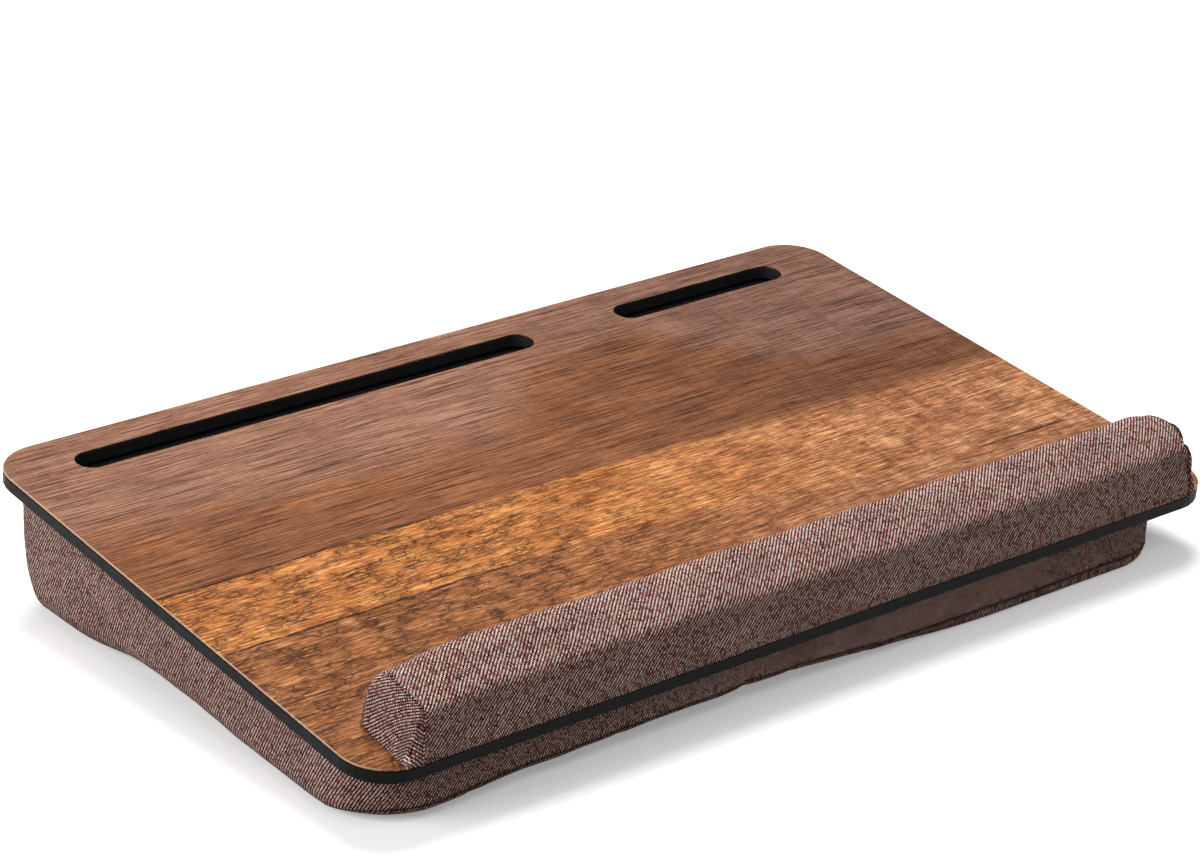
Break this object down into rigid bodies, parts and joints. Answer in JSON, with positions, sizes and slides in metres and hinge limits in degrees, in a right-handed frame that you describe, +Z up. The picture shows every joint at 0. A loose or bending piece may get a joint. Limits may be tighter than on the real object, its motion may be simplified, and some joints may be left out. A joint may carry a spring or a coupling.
{
  "type": "lap desk",
  "caption": "Wood-faced lap board with a tablet slot, a phone slot and a padded wrist rest, on a wedge cushion with a zipped cover.",
  "frame": {"origin": "centre of the object's footprint, on the surface that the cushion stands on", "axes": "+X to the user's right along the front edge, +Y from the wrist rest to the slots at the rear, +Z up"},
  "size_m": [0.546, 0.3481, 0.0793],
  "materials": {
    "printed_wood": "satin printed wood-grain sheet",
    "black_edge": "satin black edge band",
    "black_panel": "black fibreboard",
    "tweed_fabric": "brown and pinkish-beige tweed weave",
    "lining_fabric": "dark woven lining",
    "foam": "cut foam",
    "fibre_filling": "white polyester filling",
    "hardboard": "raw hardboard",
    "double_sided_tape": "adhesive foam tape",
    "hook_tape": "black hook and loop tape",
    "zip_fabric": "dark brown woven tape",
    "zip_plastic": "dark brown moulded coil",
    "zip_metal": "dark enamelled metal"
  },
  "bodies": {
    "desk": {"wood_laminate": "printed_wood", "board_core": "black_panel", "edge_band": "black_edge", "wrist_rest_cover": "tweed_fabric", "wrist_rest_end_left": "tweed_fabric", "wrist_rest_end_right": "tweed_fabric", "wrist_rest_foam": "foam", "wrist_rest_base_strip": "hardboard", "wrist_rest_tape_front": "double_sided_tape", "wrist_rest_tape_rear": "double_sided_tape", "cushion_side_band": "tweed_fabric", "cushion_bottom_panel": "tweed_fabric", "cushion_top_lining": "lining_fabric", "front_pad_filling": "fibre_filling", "rear_bolster_filling": "fibre_filling", "filling_divider": "lining_fabric", "hook_strip_front": "hook_tape", "hook_strip_rear": "hook_tape", "loop_strip_front": "hook_tape", "loop_strip_rear": "hook_tape", "zip_tape_upper": "zip_fabric", "zip_tape_lower": "zip_fabric", "zip_teeth_upper": "zip_plastic", "zip_teeth_lower": "zip_plastic", "zip_stop_closed_end": "zip_metal", "zip_stop_open_end": "zip_metal"},
    "slider": {"zip_slider": "zip_metal"},
    "pull": {"zip_pull_tab": "zip_metal"}
  },
  "joints": [
    {"name": "zip_slide", "type": "slide", "parent": "desk", "child": "slider", "axis": [-1, 0, 0], "range_m": [0, 0.3742]},
    {"name": "pull_tab_turn", "type": "hinge", "parent": "slider", "child": "pull", "pos_m": [0.1871, 0.17198, 0.04003], "axis": [0, 0.1227, -0.9924], "range_deg": [0, 180]}
  ]
}
